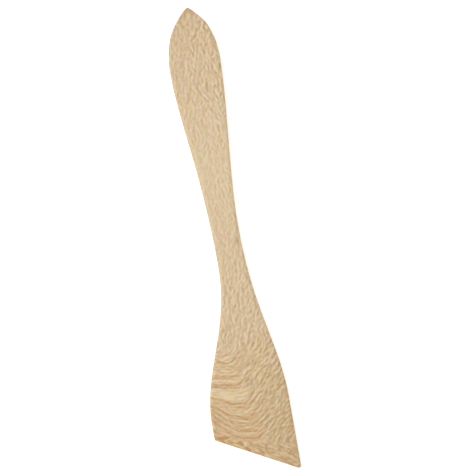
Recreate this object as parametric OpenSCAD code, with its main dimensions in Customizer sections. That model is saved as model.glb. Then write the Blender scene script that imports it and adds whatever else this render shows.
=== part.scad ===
// Wooden clay modeling tool: one board, carved to a pointed handle at one end and to a flat,
// slanted blade at the other. The flat back lies on z = 0, the handle's point faces +Y and the
// blade's working edge faces -Y. "Left" is the -X side, which ends in the blade's heel, and
// "right" is the +X side, which ends in its toe. Stations are measured from the handle's point
// along the tool, and half widths to each side from the line that runs straight down from it.

/* [Point] */
// Radius of the rounded point at the end of the handle
point_r = 0.6; // [0.6:0.05:1]
// Angle between the line down the tool and the left flank where it leaves the point
point_left_angle = 58; // [50:1:60]
// Angle between the line down the tool and the right flank where it leaves the point
point_right_angle = 56; // [50:1:60]
// Thickness of the wood at the point
point_t = 3.6; // [2.8:0.1:4.5]

/* [Shoulders of the point] */
// Station of the shoulders, where the point's flanks turn into the handle
shoulder_at = 8.6; // [7.5:0.1:9.5]
// Half width of the left shoulder
shoulder_left = 7.75; // [7.3:0.05:8.5]
// Half width of the right shoulder
shoulder_right = 7.4; // [7.2:0.05:8.5]
// Thickness of the wood at the shoulders
shoulder_t = 4.8; // [4:0.1:5.5]

/* [Handle] */
// Station where the left flank is widest
grip_left_at = 26.5; // [24:0.5:30]
// Station where the right flank is widest
grip_right_at = 23; // [21:0.5:28]
// Half width of the handle on the left
grip_left = 11.9; // [10:0.1:14]
// Half width of the handle on the right
grip_right = 10.1; // [9:0.1:13]
// Thickness of the wood at the widest part of the handle
grip_t = 5.5; // [4.5:0.1:7]

/* [Waist] */
// Station where the left flank is narrowest
waist_left_at = 110; // [100:1:115]
// Station where the right flank is narrowest
waist_right_at = 94; // [88:1:105]
// Half width of the waist on the left
waist_left = 6.1; // [5:0.1:8]
// Half width of the waist on the right
waist_right = 5.3; // [4.5:0.1:7]
// Thickness of the wood at the waist
waist_t = 5.1; // [4.2:0.1:6]

/* [Blade] */
// Station from which the blade's left flank runs straight down to the heel
blade_left_at = 175.5; // [172:0.5:178]
// Station from which the blade's right flank runs straight down to the toe
blade_right_at = 170; // [165:0.5:176]
// Half width of the blade on the left
blade_left = 20.3; // [17:0.1:24]
// Half width of the blade on the right
blade_right = 13.9; // [12:0.1:17]
// Thickness of the blade where its flanks turn straight
blade_t = 3.2; // [2.6:0.1:4]

/* [Working edge] */
// Station of the heel, measured at its sharp corner
heel_at = 182.4; // [181:0.1:184]
// Slant of the working edge, away from square across the tool
edge_slant = 28.1; // [20:0.1:32]
// Radius of the rounded heel
heel_r = 1; // [0.8:0.1:1.5]
// Radius of the rounded toe
toe_r = 1; // [0.7:0.1:1.5]
// Share of the straight flanks, down at the edge, that the bevel on the face takes
bevel_share = 0.12; // [0.08:0.01:0.2]
// Thickness of the blade where the bevel starts
bevel_t = 2.3; // [2:0.1:2.8]
// Thickness of the blade at the working edge
edge_t = 1.5; // [1.3:0.1:2]

/* [Rounded edges] */
// Radius of the face's rounded edge along the handle and waist
arris_handle_r = 1.4; // [0.8:0.1:1.6]
// Radius of the face's rounded edge along the blade's flanks
arris_blade_r = 1; // [0.6:0.1:1.2]
// Radius of the face's rounded edge at the point, the heel, the toe and the working edge
arris_end_r = 0.45; // [0.3:0.05:0.45]
// Radius of the back's rounded edges, as a share of the face's
back_share = 0.7; // [0.5:0.05:0.8]

/* [Hidden] */
wood_colour = [0.83, 0.73, 0.6];

// Steps along each stretch of a flank: point, shoulder, handle, waist, blade, bevel, corner
point_steps = 5;
shoulder_steps = 7;
handle_steps = 14;
neck_steps = 16;
blade_steps = 5;
bevel_steps = 1;
corner_steps = 3;
rows = point_steps + shoulder_steps + handle_steps + neck_steps
    + blade_steps + bevel_steps + corner_steps;
// Steps across the tool: two rounded corners and the straight stretch between them
edge_steps = 5;
columns = edge_steps + 2 * corner_steps;
// Steps round the face's and the back's rounded edges
face_round_steps = 4;
back_round_steps = 3;
// How far the blank reaches below the back before it is planed off
planing = 1;
// Side of the square that planes the back, wider than the tool in every direction
planer = 600;

// Reaches of the flanks' smooth curves before and after the place each is named for
left_reach = [3.8, 1.4, 7, 4, 21, 40, 27.5, 22];
right_reach = [2.6, 1.8, 5, 7, 18, 21, 38, 24];
// Slope of each flank, sideways per length, on reaching the shoulder and on leaving it
left_shoulder_slope = [0.6, 0.6];
right_shoulder_slope = [0.4, 0.33];

function mix(a, b, share) = a + (b - a) * share;
function unit(v) = v / norm(v);
function left_of(v) = [-v.y, v.x];
function bezier_point(p, t) =
    pow(1 - t, 3) * p[0] + 3 * t * pow(1 - t, 2) * p[1]
    + 3 * t * t * (1 - t) * p[2] + pow(t, 3) * p[3];
// Points of a curve or a straight line, without the last one, which starts the next stretch
function curve(p, steps) = [for (i = [0:steps - 1]) bezier_point(p, i / steps)];
function line(a, b, steps) = [for (i = [0:steps - 1]) mix(a, b, i / steps)];
// An arc given by the way its outward normal faces: 0 is left, 90 the point's end, -90 the blade's
function arc(centre, r, from, to, steps) =
    [for (i = [0:steps]) let (a = mix(from, to, i / steps)) centre - r * [cos(a), sin(a)]];
function but_last(list) = [for (i = [0:len(list) - 2]) list[i]];
function but_first(list) = [for (i = [1:len(list) - 1]) list[i]];
function reversed(list) = [for (i = [len(list) - 1:-1:0]) list[i]];

// The outline, drawn flat as [half width, station]: left widths are negative
point_centre = [0, point_r];
toe_at = heel_at + (blade_left + blade_right) * tan(edge_slant);
heel_centre = [
    heel_r - blade_left,
    heel_at + heel_r * tan(edge_slant) - heel_r / cos(edge_slant)
];
toe_centre = [
    blade_right - toe_r,
    toe_at - toe_r * tan(edge_slant) - toe_r / cos(edge_slant)
];
edge_facing = edge_slant - 90;
heel_middle = edge_facing / 2;
toe_middle = (edge_facing - 180) / 2;

// One flank from the point to the start of its lower corner. side is -1 for left, 1 for right.
function flank(side, angle, shoulder, grip, waist, blade, corner, reach, slope) = let (
    start = point_centre + point_r * [side * cos(angle), -sin(angle)],
    away = [side * sin(angle), cos(angle)],
    knee = [side * shoulder, shoulder_at],
    into_knee = unit([side * slope[0], 1]),
    out_of_knee = unit([side * slope[1], 1]),
    g = [side * grip[0], grip[1]],
    w = [side * waist[0], waist[1]],
    b = [side * blade[0], blade[1]],
    bevel = mix(b, corner, 1 - bevel_share),
    down = [0, 1]
) concat(
    curve([start, start + reach[0] * away, knee - reach[1] * into_knee, knee], point_steps),
    curve([knee, knee + reach[2] * out_of_knee, g - reach[3] * down, g], shoulder_steps),
    curve([g, g + reach[4] * down, w - reach[5] * down, w], handle_steps),
    curve([w, w + reach[6] * down, b - reach[7] * down, b], neck_steps),
    line(b, bevel, blade_steps),
    line(bevel, corner, bevel_steps)
);

heel_start = heel_centre - [heel_r, 0];
toe_end = toe_centre + [toe_r, 0];
left_side = concat(
    flank(
        -1, point_left_angle, shoulder_left, [grip_left, grip_left_at],
        [waist_left, waist_left_at], [blade_left, blade_left_at], heel_start,
        left_reach, left_shoulder_slope
    ),
    arc(heel_centre, heel_r, 0, heel_middle, corner_steps)
);
right_side = concat(
    flank(
        1, point_right_angle, shoulder_right, [grip_right, grip_right_at],
        [waist_right, waist_right_at], [blade_right, blade_right_at], toe_end,
        right_reach, right_shoulder_slope
    ),
    arc(toe_centre, toe_r, -180, toe_middle, corner_steps)
);
point_end = arc(point_centre, point_r, point_left_angle, 180 - point_right_angle, columns);
heel_half = arc(heel_centre, heel_r, heel_middle, edge_facing, corner_steps);
toe_half = arc(toe_centre, toe_r, edge_facing, toe_middle, corner_steps);
working_edge = concat(
    but_last(heel_half),
    line(heel_half[corner_steps], toe_half[0], edge_steps),
    toe_half
);

// Side profile: the wood's thickness against the station, along the middle of the tool
edge_middle = (heel_at + toe_at) / 2;
blade_middle = (blade_left_at + blade_right_at) / 2;
bevel_middle = mix(blade_middle, edge_middle, 1 - bevel_share);
grip_middle = (grip_left_at + grip_right_at) / 2;
waist_middle = (waist_left_at + waist_right_at) / 2;
thickness_profile = [
    [0, point_t], [shoulder_at, shoulder_t], [grip_middle, grip_t],
    [waist_middle, waist_t], [blade_middle, blade_t], [bevel_middle, bevel_t],
    [edge_middle, edge_t]
];
arris_profile = [
    [0, arris_end_r], [grip_middle, arris_handle_r], [waist_middle, arris_handle_r],
    [blade_middle, arris_blade_r], [bevel_middle, arris_end_r], [edge_middle, arris_end_r]
];
row_station = [for (j = [0:rows]) (left_side[j].y + right_side[j].y) / 2];
row_t = [for (j = [0:rows]) lookup(row_station[j], thickness_profile)];
row_r = [for (j = [0:rows]) lookup(row_station[j], arris_profile)];

// The loop round the tool: down the left side, across the edge, up the right, over the point
loop = concat(
    left_side, but_first(working_edge),
    but_first(reversed(right_side)), but_last(but_first(reversed(point_end)))
);
count = len(loop);
// The row that each point of the loop belongs to, for its thickness and its rounded edge
loop_row = concat(
    [for (j = [0:rows]) j], [for (m = [1:columns]) rows],
    [for (j = [rows - 1:-1:0]) j], [for (m = [1:columns - 1]) 0]
);

// The same loop seen from above in the tool's own frame, centred on its origin
half_widths = [for (p = loop) p.x];
stations = [for (p = loop) p.y];
centre = [max(half_widths) + min(half_widths), max(stations) + min(stations)] / 2;
plan = [for (p = loop) [p.x - centre.x, centre.y - p.y]];
function step_from(i) = unit(plan[(i + 1) % count] - plan[i]);
inward = [for (i = [0:count - 1]) let (
    before = left_of(step_from((i + count - 1) % count)),
    after = left_of(step_from(i))
) (before + after) / (1 + before * after)];

// One ring round the tool: how far each point is drawn in, and its height
function face_ring(a) = [for (i = [0:count - 1]) let (r = row_r[loop_row[i]]) concat(
    plan[i] + r * (1 - cos(a)) * inward[i], row_t[loop_row[i]] - r * (1 - sin(a))
)];
function back_ring(a) = [for (i = [0:count - 1]) let (r = back_share * row_r[loop_row[i]]) concat(
    plan[i] + r * (1 - cos(a)) * inward[i], r * (1 - sin(a))
)];
blank_ring = [for (p = back_ring(90)) [p.x, p.y, -planing]];
rings = concat(
    [blank_ring],
    [for (k = [back_round_steps:-1:0]) back_ring(90 * k / back_round_steps)],
    [for (k = [0:face_round_steps]) face_ring(90 * k / face_round_steps)]
);

// A ring's points as a grid that fills it: row 0 is the point, the last row the working edge
function grid_left(ring, j) = ring[j];
function grid_edge(ring, m) = ring[rows + m];
function grid_right(ring, j) = ring[2 * rows + columns - j];
function grid_point(ring, m) = ring[(count - m) % count];
function grid(ring, j, m) = j == 0 ? grid_point(ring, m) : j == rows ? grid_edge(ring, m) : let (
    share = m / columns,
    down = j / rows,
    point_chord = [grid_point(ring, 0), grid_point(ring, columns)],
    edge_chord = [grid_edge(ring, 0), grid_edge(ring, columns)],
    // How far the two curved ends stray from an evenly divided chord
    point_stray = grid_point(ring, m) - mix(point_chord[0], point_chord[1], share),
    edge_stray = grid_edge(ring, m) - mix(edge_chord[0], edge_chord[1], share),
    left = grid_left(ring, j),
    right = grid_right(ring, j),
    narrower = norm(right - left) / norm(edge_chord[1] - edge_chord[0])
) mix(left, right, share) + pow(1 - down, 2) * point_stray + narrower * pow(down, 2) * edge_stray;
function filled(ring) = [for (j = [0:rows]) [for (m = [0:columns]) grid(ring, j, m)]];
function flat_list(lists) = [for (list = lists) for (item = list) item];
function two_triangles(a, b, c, d) = [[a, b, c], [a, c, d]];

// The blank as a closed solid. Faces turn clockwise as seen from outside.
module blank() {
    ring_count = len(rings);
    back = flat_list(filled(rings[0]));
    face = flat_list(filled(rings[ring_count - 1]));
    back_start = ring_count * count;
    face_start = back_start + len(back);
    function on_grid(start, j, m) = start + j * (columns + 1) + m;
    sides = [for (k = [0:ring_count - 2]) for (i = [0:count - 1]) let (n = (i + 1) % count)
        each two_triangles(
            k * count + i, (k + 1) * count + i, (k + 1) * count + n, k * count + n
        )];
    face_fill = [for (j = [0:rows - 1]) for (m = [0:columns - 1]) each two_triangles(
        on_grid(face_start, j, m), on_grid(face_start, j, m + 1),
        on_grid(face_start, j + 1, m + 1), on_grid(face_start, j + 1, m)
    )];
    back_fill = [for (j = [0:rows - 1]) for (m = [0:columns - 1]) each two_triangles(
        on_grid(back_start, j, m), on_grid(back_start, j + 1, m),
        on_grid(back_start, j + 1, m + 1), on_grid(back_start, j, m + 1)
    )];
    polyhedron(
        points = concat(flat_list(rings), back, face),
        faces = concat(sides, face_fill, back_fill)
    );
}

// The tool: the carved blank with its back planed flat on z = 0
module tool_body() {
    color(wood_colour) difference() {
        blank();
        translate([-planer / 2, -planer / 2, -planer]) cube(planer);
    }
}

tool_body();
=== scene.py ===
import math

import bmesh
import bpy
import numpy as np
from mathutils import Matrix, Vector, noise


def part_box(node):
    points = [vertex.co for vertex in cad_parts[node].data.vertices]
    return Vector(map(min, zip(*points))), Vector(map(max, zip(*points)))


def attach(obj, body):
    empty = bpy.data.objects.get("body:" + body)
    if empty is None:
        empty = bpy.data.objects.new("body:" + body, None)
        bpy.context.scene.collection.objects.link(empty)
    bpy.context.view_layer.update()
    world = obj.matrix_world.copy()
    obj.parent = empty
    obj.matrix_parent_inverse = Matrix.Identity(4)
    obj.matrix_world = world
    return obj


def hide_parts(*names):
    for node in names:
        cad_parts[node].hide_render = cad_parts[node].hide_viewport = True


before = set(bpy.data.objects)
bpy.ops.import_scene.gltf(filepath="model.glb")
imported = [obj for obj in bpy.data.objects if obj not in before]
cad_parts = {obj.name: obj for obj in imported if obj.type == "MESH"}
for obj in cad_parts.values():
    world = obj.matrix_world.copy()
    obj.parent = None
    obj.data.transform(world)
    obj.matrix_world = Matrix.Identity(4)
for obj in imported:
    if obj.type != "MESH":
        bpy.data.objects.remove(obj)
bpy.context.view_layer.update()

low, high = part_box("tool_body")
MM = 0.001


# The table: a sheet of matt white acrylic, lit a little from below like a light table, so that
# the tool hardly throws a shadow on it. It isn't part of the tool.
table_reach = 2.5
table_mesh = bpy.data.meshes.new("table_top")
table_mesh.from_pydata(
    [(x * table_reach, y * table_reach, low.z) for x, y in ((-1, -1), (1, -1), (1, 1), (-1, 1))],
    [],
    [(0, 1, 2, 3)],
)
table_top = bpy.data.objects.new("table_top", table_mesh)
bpy.context.scene.collection.objects.link(table_top)
acrylic = bpy.data.materials.new("white_acrylic")
acrylic.use_nodes = True
acrylic_shader = acrylic.node_tree.nodes["Principled BSDF"]
acrylic_shader.inputs["Base Color"].default_value = (0.9, 0.9, 0.9, 1)
acrylic_shader.inputs["Roughness"].default_value = 0.7
acrylic_shader.inputs["Specular IOR Level"].default_value = 0.2
acrylic_shader.inputs["Emission Color"].default_value = (1, 1, 1, 1)
acrylic_shader.inputs["Emission Strength"].default_value = 0.4
table_mesh.materials.append(acrylic)


# The light: a white tent all round, and one broad soft lamp high on the left, past the point of
# the handle. The camera looks straight down through a long lens, turned a little on its axis.
tent = bpy.data.worlds.new("white_tent")
tent.use_nodes = True
tent.node_tree.nodes["Background"].inputs["Color"].default_value = (1, 1, 1, 1)
tent.node_tree.nodes["Background"].inputs["Strength"].default_value = 0.76
bpy.context.scene.world = tent

lamp_data = bpy.data.lights.new("soft_lamp", "AREA")
lamp_data.shape = "DISK"
lamp_data.size = 1
lamp_data.energy = 9
lamp = bpy.data.objects.new("soft_lamp", lamp_data)
lamp.location = (-0.6, 0.35, 1.1)
lamp.rotation_euler = (-Vector(lamp.location)).to_track_quat("-Z", "Y").to_euler()
bpy.context.scene.collection.objects.link(lamp)

lens = 180
sensor = 36
view_width = 198.7 * MM
view_turn = math.radians(-10)
look_at = Vector((6.47 * MM, 1.8 * MM, 0.5 * (low.z + high.z)))
camera_data = bpy.data.cameras.new("camera")
camera_data.lens = lens
camera_data.sensor_width = sensor
camera = bpy.data.objects.new("camera", camera_data)
camera.location = look_at + Vector((0, 0, view_width * lens / sensor))
camera.rotation_euler = (0, 0, view_turn)
bpy.context.scene.collection.objects.link(camera)
bpy.context.scene.camera = camera
bpy.context.scene.view_settings.view_transform = "Standard"


# The tool: one board of pale, ray-flecked wood, sawn to a leaf-shaped handle and a slanted
# blade, thinned on its face towards the working edge, and sanded until every edge is round.

# Its outline, in millimetres. Stations run from the handle's point down to the blade, and half
# widths run from the line straight down from the point, negative on the left. The heel is the
# blade's obtuse corner, on the left, and the toe is the sharp one. The two sides of the point
# stand off that line by point_left and point_right, in degrees.
point_r = 0.6
point_left, point_right = 58, 56
shoulder_at = 8.6
blade_left, blade_right = -20.3, 13.9
heel_r, toe_r = 1, 1
edge_slant = math.radians(28.1)
drop = math.tan(edge_slant)
lean = math.cos(edge_slant)
heel_at = 182.4
toe_at = heel_at + (blade_right - blade_left) * drop
bevel_share = 0.12


def mix(a, b, share):
    """What lies that share of the way from a to b."""
    return a + (b - a) * share


def pair(*values):
    """A place or a direction on the outline: half width, then station."""
    return np.array(values, float)


def curve(a, b, c, d, steps):
    """Points from a up to d, without d, on a smooth curve that b and c draw out."""
    t = (np.arange(steps) / steps)[:, None]
    return (1 - t) ** 3 * a + 3 * t * (1 - t) ** 2 * b + 3 * t * t * (1 - t) * c + t ** 3 * d


def straight(a, b, steps):
    """Points from a up to b, without b."""
    return mix(a, b, (np.arange(steps) / steps)[:, None])


def rounding(centre, r, first, last, steps):
    """An arc by the way its outside faces: 0 is left, 90 the handle's end, -90 the blade's."""
    facing = np.radians(np.linspace(first, last, steps + 1))
    return centre - r * np.stack([np.cos(facing), np.sin(facing)], 1)


corner_steps = 8
edge_steps = 20
columns = 2 * corner_steps + edge_steps


def flank(side, point_angle, shoulder, grip, waist, blade, corner, reach, slopes):
    """One long side, from the end of the point's rounding to the start of its lower corner.

    reach is how far each curve keeps the direction that it has at its two ends, and slopes are
    how fast the side widens just above and just below the shoulder.
    """
    steps = 24, 24, 60, 70, 24, 6
    angle = math.radians(point_angle)
    away = pair(side * math.sin(angle), math.cos(angle))
    start = pair(side * point_r * math.cos(angle), point_r * (1 - math.sin(angle)))
    above, below = (pair(side * slope, 1) / math.hypot(slope, 1) for slope in slopes)
    shoulder, grip, waist, blade, corner = (
        pair(*spot) for spot in (shoulder, grip, waist, blade, corner)
    )
    down = pair(0, 1)
    bevel = mix(blade, corner, 1 - bevel_share)
    return np.concatenate([
        curve(start, start + reach[0] * away, shoulder - reach[1] * above, shoulder, steps[0]),
        curve(shoulder, shoulder + reach[2] * below, grip - reach[3] * down, grip, steps[1]),
        curve(grip, grip + reach[4] * down, waist - reach[5] * down, waist, steps[2]),
        curve(waist, waist + reach[6] * down, blade - reach[7] * down, blade, steps[3]),
        straight(blade, bevel, steps[4]),
        straight(bevel, corner, steps[5]),
    ])


# Each lower corner is rounded in two halves: one ends a flank, the other an end of the working
# edge. A facing is the way that the outside faces where two of these meet, in degrees.
edge_facing = math.degrees(edge_slant) - 90
heel_facing = edge_facing / 2
toe_facing = (edge_facing - 180) / 2
heel_centre = pair(blade_left + heel_r, heel_at + heel_r * drop - heel_r / lean)
toe_centre = pair(blade_right - toe_r, toe_at - toe_r * drop - toe_r / lean)
left_side = np.concatenate([
    flank(
        -1, point_left, shoulder=(-7.75, shoulder_at), grip=(-11.9, 26.5), waist=(-6.1, 110),
        blade=(blade_left, 175.5), corner=heel_centre - pair(heel_r, 0),
        reach=(3.8, 1.4, 7, 4, 21, 40, 27.5, 22), slopes=(0.6, 0.6)
    ),
    rounding(heel_centre, heel_r, 0, heel_facing, corner_steps),
])
right_side = np.concatenate([
    flank(
        1, point_right, shoulder=(7.4, shoulder_at), grip=(10.1, 23), waist=(5.3, 94),
        blade=(blade_right, 170), corner=toe_centre + pair(toe_r, 0),
        reach=(2.6, 1.8, 5, 7, 18, 21, 38, 24), slopes=(0.4, 0.33)
    ),
    rounding(toe_centre, toe_r, -180, toe_facing, corner_steps),
])
heel_half = rounding(heel_centre, heel_r, heel_facing, edge_facing, corner_steps)
toe_half = rounding(toe_centre, toe_r, edge_facing, toe_facing, corner_steps)
working_edge = np.concatenate([
    heel_half[:-1], straight(heel_half[-1], toe_half[0], edge_steps), toe_half
])
point_end = rounding(pair(0, point_r), point_r, point_left, 180 - point_right, columns)
rows = len(left_side) - 1

# The loop round the tool: down the left, along the working edge, up the right, round the point.
# loop_row is the row of the grid that each of its points belongs to.
loop = np.concatenate([left_side, working_edge[1:], right_side[-2::-1], point_end[-2:0:-1]])
loop_row = np.array(
    list(range(rows + 1)) + [rows] * columns + list(range(rows - 1, -1, -1)) + [0] * (columns - 1)
)
count = len(loop)
centre = (loop.max(0) + loop.min(0)) / 2
plan = (loop - centre) * pair(1, -1)

# inward is the way in from each point of the loop. It is a little longer at a corner, so that a
# loop drawn in along it stays the same distance inside on both sides of the corner.
onward = np.roll(plan, -1, 0) - plan
onward /= np.linalg.norm(onward, axis=1)[:, None]
in_after = np.stack([-onward[:, 1], onward[:, 0]], 1)
in_before = np.roll(in_after, 1, 0)
inward = (in_before + in_after) / (1 + (in_before * in_after).sum(1))[:, None]


def sanded(*place):
    """How much deeper than elsewhere the sanding went at a place, from 0 to 1."""
    return max(0, 0.5 + 0.5 * noise.noise(Vector(place)))


# Hand sanding leaves the outline a few hundredths of a millimetre in and out of true
outline_sanding = 0.04
for i, (x, y) in enumerate(plan.copy()):
    plan[i] += outline_sanding * sanded(x / 9, y / 14, 3) * inward[i]


def profile(stations, values):
    """A smooth side profile through the values at the stations, which never overshoots them."""
    stations, values = np.array(stations, float), np.array(values, float)
    slopes = np.diff(values) / np.diff(stations)
    tangents = np.concatenate([[slopes[0]], (slopes[1:] + slopes[:-1]) / 2, [slopes[-1]]])
    tangents[1:-1][slopes[1:] * slopes[:-1] <= 0] = 0

    def at(station):
        k = np.clip(np.searchsorted(stations, station) - 1, 0, len(slopes) - 1)
        span = stations[k + 1] - stations[k]
        t = (station - stations[k]) / span
        return (
            (1 + 2 * t) * (1 - t) ** 2 * values[k] + t * (1 - t) ** 2 * span * tangents[k]
            + t * t * (3 - 2 * t) * values[k + 1] + t * t * (t - 1) * span * tangents[k + 1]
        )
    return at


# The board's thickness, and the radius of its edges on the face, along the tool. A middle is
# halfway between the stations of the left and the right side.
grip_middle, waist_middle, neck_middle, blade_middle = 24.75, 102, 140, 172.75
edge_middle = (heel_at + toe_at) / 2
bevel_middle = mix(blade_middle, edge_middle, 1 - bevel_share)
bevel_thickness, edge_thickness = 2.3, 1.5
thickness_to_bevel = profile(
    (0, shoulder_at, grip_middle, waist_middle, neck_middle, blade_middle, bevel_middle),
    (3.6, 4.8, 5.5, 5.1, 4.3, 3.1, bevel_thickness),
)
end_arris, handle_arris, blade_arris = 0.45, 1.4, 1
arris = profile(
    (0, grip_middle, waist_middle, blade_middle, bevel_middle, edge_middle),
    (end_arris, handle_arris, handle_arris, blade_arris, end_arris, end_arris),
)
row_station = (left_side[:, 1] + right_side[:, 1]) / 2
bevel_fall = np.clip((row_station - bevel_middle) / (edge_middle - bevel_middle), 0, 1)
row_thickness = np.where(
    row_station < bevel_middle,
    thickness_to_bevel(np.minimum(row_station, bevel_middle)),
    mix(bevel_thickness, edge_thickness, bevel_fall),
)
row_arris = arris(np.clip(row_station, 0, edge_middle))


def ring(radii, turn, flat_height, inside):
    """A line round a rounded edge. turn is 0 where the edge meets the side, 90 where it meets
    the flat at flat_height, and inside is 1 where the wood lies above the flat, -1 below.
    """
    turn = math.radians(turn)
    drawn_in = (radii * (1 - math.cos(turn)))[:, None] * inward
    height = flat_height + inside * radii * (1 - math.sin(turn))
    return np.column_stack([plan + drawn_in, height])


# The rings climb from the flat of the back, round its edge, up the side, and onto the face
back_share = 0.7
back_steps, face_steps = 6, 9
face_r = row_arris[loop_row]
back_r = back_share * face_r
top = row_thickness[loop_row]
back_rings = [ring(back_r, turn, 0, 1) for turn in np.linspace(90, 0, back_steps + 1)]
face_rings = [ring(face_r, turn, top, -1) for turn in np.linspace(0, 90, face_steps + 1)]
side_rings = [mix(back_rings[-1], face_rings[0], share) for share in (1 / 3, 2 / 3)]
rings = back_rings + side_rings + face_rings


def fill(edge_ring):
    """The grid inside a ring: row 0 is the point, the last row is the working edge.

    Every row is shared out evenly from left to right. Near its two ends the grid also takes on
    how far the curved end rows stray from such even shares.
    """
    point_row = edge_ring[(count - np.arange(columns + 1)) % count]
    edge_row = edge_ring[rows:rows + columns + 1]
    left, right = edge_ring[:rows + 1], edge_ring[2 * rows + columns - np.arange(rows + 1)]
    down = (np.arange(rows + 1) / rows)[:, None, None]
    share = (np.arange(columns + 1) / columns)[:, None]
    point_stray = point_row - mix(point_row[0], point_row[-1], share)
    edge_stray = edge_row - mix(edge_row[0], edge_row[-1], share)
    widths = np.linalg.norm(right - left, axis=1)[:, None, None]
    grid = mix(left[:, None], right[:, None], share) + (1 - down) ** 2 * point_stray
    grid = grid + down ** 2 * widths / widths[-1] * edge_stray
    grid[0], grid[-1], grid[:, 0], grid[:, -1] = point_row, edge_row, left, right
    return grid


face_grid, back_grid = fill(rings[-1]), fill(rings[0])
corners = np.concatenate(rings + [face_grid.reshape(-1, 3), back_grid.reshape(-1, 3)])

# The face was sanded by hand too, deeper in places by up to this share of the thickness
face_sanding = 0.016
for corner in corners:
    corner[2] *= 1 - face_sanding * sanded(corner[0] / 9, corner[1] / 17, 9)

quads = []
for k in range(len(rings) - 1):
    lower, upper = k * count, (k + 1) * count
    for i in range(count):
        n = (i + 1) % count
        quads.append((lower + i, lower + n, upper + n, upper + i))
face_start = len(rings) * count
back_start = face_start + (rows + 1) * (columns + 1)
for j in range(rows):
    for m in range(columns):
        here = j * (columns + 1) + m
        below = here + columns + 1
        quad = here, below, below + 1, here + 1
        quads.append([face_start + q for q in quad])
        quads.append([back_start + q for q in reversed(quad)])

tool_mesh = bpy.data.meshes.new("wooden_tool")
tool_mesh.from_pydata((corners * MM).tolist(), [], quads)

# The rims of the two grids lie on the rings that they fill, and are joined to them
same_place = 1e-7
work = bmesh.new()
work.from_mesh(tool_mesh)
bmesh.ops.remove_doubles(work, verts=work.verts, dist=same_place)
bmesh.ops.recalc_face_normals(work, faces=work.faces)
work.to_mesh(tool_mesh)
work.free()
tool_mesh.polygons.foreach_set("use_smooth", [True] * len(tool_mesh.polygons))
wooden_tool = bpy.data.objects.new("wooden_tool", tool_mesh)
bpy.context.scene.collection.objects.link(wooden_tool)
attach(wooden_tool, "root")
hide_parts("tool_body")


class WoodValue:
    """A socket of the wood's shader. Sums written with it add the nodes that work them out."""

    def __init__(self, tree, socket=None):
        self.tree = tree
        self.socket = socket

    def node(self, kind, settings, sockets, output=0):
        """Any node: its settings first, then the values and links of its sockets."""
        made = self.tree.nodes.new(kind)
        stops = settings.pop("stops", ())
        for name, value in settings.items():
            setattr(made, name, value)
        for place, value in stops[1:-1]:
            made.color_ramp.elements.new(place)
        for k, (place, value) in enumerate(stops):
            made.color_ramp.elements[k].position = place
            made.color_ramp.elements[k].color = (value, value, value, 1)
        for name, value in sockets.items():
            if isinstance(value, WoodValue):
                self.tree.links.new(value.socket, made.inputs[name])
            else:
                made.inputs[name].default_value = value
        return WoodValue(self.tree, made.outputs[output])

    def reckon(self, operation, *values):
        return self.node("ShaderNodeMath", {"operation": operation}, dict(enumerate(values)))

    def __add__(self, other):
        return self.reckon("ADD", self, other)

    __radd__ = __add__

    def __sub__(self, other):
        return self.reckon("SUBTRACT", self, other)

    def __rsub__(self, other):
        return self.reckon("SUBTRACT", other, self)

    def __mul__(self, other):
        return self.reckon("MULTIPLY", self, other)

    __rmul__ = __mul__

    def __truediv__(self, other):
        return self.reckon("DIVIDE", self, other)

    def __rtruediv__(self, other):
        return self.reckon("DIVIDE", other, self)

    def at_least(self, other):
        return self.reckon("MAXIMUM", self, other)

    def at_most(self, other):
        return self.reckon("MINIMUM", self, other)

    def sine(self):
        return self.reckon("SINE", self)

    def root(self):
        return self.reckon("SQRT", self)

    def rising(self, start, end):
        """0 before start, 1 past end, and a smooth rise between them. end may be the lower."""
        return self.node(
            "ShaderNodeMapRange", {"interpolation_type": "SMOOTHSTEP"},
            {"Value": self, "From Min": start, "From Max": end}
        )

    def banded(self, *stops):
        """A value from 0 to 1 through up to 32 stops, each of a place and its value."""
        first, last = stops[0][0], stops[-1][0]
        spread = [((place - first) / (last - first), value) for place, value in stops]
        return self.node(
            "ShaderNodeValToRGB", {"stops": spread}, {"Fac": (self - first) / (last - first)}
        )

    def place(self, x, y, z):
        """A vector from its three parts."""
        return self.node("ShaderNodeCombineXYZ", {}, {"X": x, "Y": y, "Z": z})

    def clouds(self, x, y, z, detail=0):
        """Soft noise from about -1 to 1, whose lumps are one unit across.

        A whole number added to z gives a pattern of its own.
        """
        value = self.node(
            "ShaderNodeTexNoise", {"noise_dimensions": "3D"},
            {"Vector": self.place(x, y, z), "Scale": 1, "Detail": detail}
        )
        return value * 2 - 1

    def blend(self, share, first, second):
        """A colour between two, by share."""
        return self.node("ShaderNodeMix", {"data_type": "RGBA"}, {0: share, 6: first, 7: second}, 2)

    def tinted(self, colour, tint):
        """A colour multiplied by a tint."""
        return self.node("ShaderNodeVectorMath", {"operation": "MULTIPLY"}, {0: colour, 1: tint})


bare_wood = bpy.data.materials.new("bare_wood")
bare_wood.use_nodes = True
tree = bare_wood.node_tree
shader = tree.nodes["Principled BSDF"]
wood = WoodValue(tree)
spot = wood.node("ShaderNodeTexCoord", {}, {}, "Object")
x, y, z = (
    wood.node("ShaderNodeSeparateXYZ", {}, {"Vector": spot}, axis) * (1 / MM) for axis in "XYZ"
)
across = x + centre[0]
down = centre[1] - y

# Noise is weaker wherever one of its coordinates is a whole number, and the back lies on z = 0.
# The figure's depth is counted from below the back, so that the back shows as much of it.
deep = z + 1.17


def leaning(start, over, slope):
    """How far the grain has moved sideways, if it leans over to slope, past start."""
    held = (down - start).at_least(0).at_most(over)
    return slope * (held * held / (2 * over) + (down - (start + over)).at_least(0))


# Ray flecks: dashes of light and dark, side by side, whose broad sides face along turn
dash_length, dash_pitch = 2, 2


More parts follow.
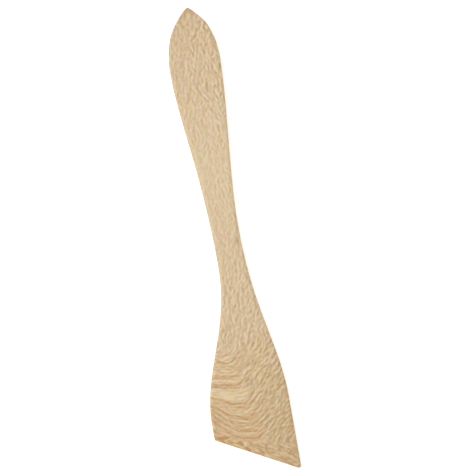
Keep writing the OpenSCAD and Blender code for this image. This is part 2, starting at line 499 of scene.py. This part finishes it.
def flecks(turn):
    dashes = wood.node(
        "ShaderNodeTexGabor", {"gabor_type": "3D"},
        {
            "Vector": wood.place(across, down, deep), "Scale": 1 / dash_length,
            "Frequency": dash_length / dash_pitch, "Anisotropy": 1, 5: turn
        }
    )
    return 12 * (dashes - 0.5)


# In the handle the grain runs nearly straight, and it leans over as it comes to the shoulder of
# the blade. lean_over is how far the flecks turn from facing sideways.
drift = 1.2 * wood.clouds(across / 20, down / 45, deep / 20)
grain_over = across + leaning(100, 30, 0.27) + drift
in_waist = down.rising(45, 75) * down.rising(145, 120)
lean_over = (
    0.06 + 0.2 * down.rising(100, 125) + 0.3 * wood.clouds(across / 9, down / 11, deep / 9)
    + (0.9 - 0.4 * in_waist) * wood.clouds(across / 3, down / 4, deep / 3 + 5)
)
handle_turn = wood.place(1, lean_over, 0)

# In the blade the saw cut the growth layers open. From a knee left of the middle they climb to
# the right, and to the left they run nearly level, like nested bowls, and climb again at the
# margin. The knee is level for knee_width, and rounded at its two ends.
knee_right_r, knee_left_r = 3, 6
knee_width = 4
level_slope = 0.14
climb = math.radians(42)
from_knee = across + 8 - 0.2 * (down - 158)
right_of = from_knee.at_least(0)
left_of = (-knee_width - from_knee).at_least(0)
right_slant = (right_of * right_of + knee_right_r ** 2).root()
left_slant = (left_of * left_of + knee_left_r ** 2).root()
left_climb = 0.2 + 0.9 * down.rising(158, 170)
layer_slope = (
    right_of / right_slant / math.tan(climb) - level_slope - left_climb * left_of / left_slant
)
wobble = 0.9 * wood.clouds(across / 3, down / 3, deep / 3 + 5)
blade_turn = wood.place(layer_slope + wobble, 1, 0)

# layer tells the growth layers apart by the station where each meets the face at the knee. For
# each millimetre of depth they lie dip further down, so the back shows them nearer to the edge.
face_height = 3.3
dip = 1.5
layer = (
    down - level_slope * (across + 9) + (right_slant - knee_right_r) / math.tan(climb)
    + left_climb * (left_slant - knee_left_r) + dip * (z - face_height)
)
bent_layer = layer + 0.5 * wood.clouds(across / 6, down / 6, deep / 6 + 3)
layer_tone = bent_layer.banded(
    (148.5, 0.35), (150.2, 0.7), (152, 0.2), (153, 0.6), (154, 0.3), (156.2, 0.75),
    (157.2, 0.2), (158.2, 0.25), (159.1, 0.8), (160.1, 0.7), (161, 0.1), (162, 0.15),
    (163, 0.75), (165.5, 1), (167.2, 0.75), (168.3, 0.1), (169.4, 0.65), (170.7, 0.4),
    (172.2, 0.8), (173.8, 0.1), (175.2, 0.7), (176.5, 0.2), (177.8, 0.75), (179.2, 0.15),
    (180.7, 0.8), (182.3, 0.1), (183.4, 0.7), (185, 1), (186.7, 0.35), (188.3, 0.7), (190, 0.4)
) * 2 - 1
thin_layer_pitch = 1.25
thin_layers = (2 * math.pi / thin_layer_pitch * bent_layer).sine()

# tone is the figure itself: above 0 in light wood, below 0 in dark. Finer specks lie among the
# flecks. strength is how much of the figure shows along the tool, and on the handle a little
# more of it shows on the right.
in_blade = down.rising(140, 151)
strength = down.banded(
    (0, 0.6), (30, 0.6), (42, 0.55), (60, 0.4), (100, 0.43), (120, 0.58), (145, 0.68), (200, 0.7)
) * 2
specks = wood.clouds(grain_over / 1.7, down / 1.5, deep / 2 + 20, 1)
grain = 0.32 * flecks(wood.blend(in_blade, handle_turn, blade_turn)) + 0.9 * specks
tone = grain * strength * (1 + 0.03 * across * down.rising(130, 100))

# In the nested bowls the layers show more than the flecks do, in patches
in_bowls = down.rising(146, 151) * from_knee.rising(7, 0)
patchy = 1 + 0.5 * wood.clouds(across / 5, down / 5, deep / 3 + 30)
bowl_tone = (1 - 0.4 * left_of.rising(3, 10)) * patchy * layer_tone
bowl_tone = bowl_tone + 0.3 * thin_layers * (2 - patchy)
bowl_tone = bowl_tone + (0.7 + 0.3 * down.rising(160, 150)) * grain
tone = mix(tone, bowl_tone, in_bowls)

# Along the working edge the bevel cuts the flecks open into broad dashes that follow the edge
off_edge = (heel_at - down + drop * (across - blade_left)) * lean
along_edge = lean * across + math.sin(edge_slant) * down
broad_dashes = wood.clouds(along_edge / 2.4, off_edge / 1.1, deep / 2 + 40, 1)
by_edge = (off_edge - 0.35 * (across + 8).at_least(0)).rising(5, 1.5)
tone = mix(tone, 2.6 * broad_dashes - 0.1, by_edge)

# One small pin knot at the waist, longer than it is wide, which doesn't reach the back
knot_across, knot_at, knot_r, knot_stretch = 3.3, 100.7, 1.4, 1.7
off_across, off_down = across - knot_across, (down - knot_at) / knot_stretch
knot = (off_across * off_across + off_down * off_down).root().rising(knot_r, 0)
tone = tone - 1.6 * knot * z.rising(2, 4)


# A few rays lie open as broad dark marks near the working edge
def open_ray(at_across, at_down, long, wide, fall):
    """1 in a soft-edged dash, 0 outside. fall is how steeply it drops to the right, in degrees."""
    turn = math.radians(fall)
    over, off = across - at_across, down - at_down
    run = (math.cos(turn) * over + math.sin(turn) * off) * (2 / long)
    rise = (math.cos(turn) * off - math.sin(turn) * over) * (2 / wide)
    return (run * run + rise * rise).rising(1.4, 0.3)


open_rays = sum(
    open_ray(*ray) for ray in (
        (-16.2, 182, 5.6, 1.3, 4), (-9.4, 185.6, 2.6, 1.5, 50), (-7, 188.4, 3.4, 1.3, 30),
        (0.6, 189.2, 3, 0.9, 100), (10.2, 187, 2.4, 1, -30), (6.4, 190.2, 2.4, 1, -40),
        (10.4, 192.6, 2.4, 1, -35),
    )
)
fibre_width, fibre_length = 0.16, 3
fibres = wood.clouds(across / fibre_width, down / fibre_length, deep / fibre_width, 2)
tone = tone - 1.7 * open_rays + 0.4 * fibres

# Colour: cream between the flecks, tan in them, and orange in the open layers of the blade.
# shade is the share of the dark colour before the figure adds to it or takes from it: most in
# the blade and at the point, where painted shade also darkens the rounded point, least at the
# middle of the tool, and more at the blade's margins.
light_wood = (0.65, 0.517, 0.343, 1)
dark_fleck = (0.431, 0.284, 0.151, 1)
dark_layer = (0.442, 0.255, 0.115, 1)
shade = down.banded(
    (0, 0.57), (17, 0.46), (38, 0.35), (68, 0.21), (101, 0.28), (131, 0.34), (156, 0.48),
    (175, 0.6), (200, 0.68)
)
near_left = left_of.rising(4, 10)
near_right = (across + 0.15 * (170 - down).at_least(0)).rising(8, 14)
# Painted shade: the last 6 mm to the point are darkened in colour, standing in for the shade on its
# rounded edges, which face away from the lamp
shade = shade + 0.25 * down.rising(6, 0)
shade = shade + 0.1 * near_left * in_blade + 0.1 * near_right * in_blade
dark_share = (shade - 0.1 * in_bowls - 0.41 * tone).at_least(0).at_most(1)
dark_wood = wood.blend(in_bowls, dark_fleck, dark_layer)

# The hue swings from speck to speck, between green and pink and between gold and blue, less so
# at the waist, and the blade is a little yellower than the handle
hue_swing = 0.5 - 0.2 * in_waist
pink_share = 0.5 + hue_swing * wood.clouds(grain_over / 1.5, down / 2, deep / 1.5 + 60, 1)
blue_share = 0.5 + hue_swing * wood.clouds(grain_over / 1.7, down / 2.3, deep / 1.5 + 80, 1)
tint = wood.blend(pink_share, (0.86, 1.02, 0.96, 1), (1.14, 0.98, 1.03, 1))
tint = wood.tinted(tint, wood.blend(in_blade, (1, 1, 1, 1), (1, 1, 0.955, 1)))
tint = wood.tinted(tint, wood.blend(blue_share, (1.01, 1.02, 0.81, 1), (0.99, 0.98, 1.19, 1)))
colour = wood.tinted(wood.blend(dark_share, light_wood, dark_wood), tint)

# The finish: bare sanded wood, matt, whose fibres stand a few hundredths of a millimetre proud
tree.links.new(colour.socket, shader.inputs["Base Color"])
roughness = 0.52 + 0.04 * tone
tree.links.new(roughness.socket, shader.inputs["Roughness"])
shader.inputs["Specular IOR Level"].default_value = 0.25
bump = wood.node(
    "ShaderNodeBump", {}, {"Strength": 0.25, "Distance": 0.05 * MM, "Height": fibres + 0.5 * tone}
)
tree.links.new(bump.socket, shader.inputs["Normal"])
tool_mesh.materials.append(bare_wood)
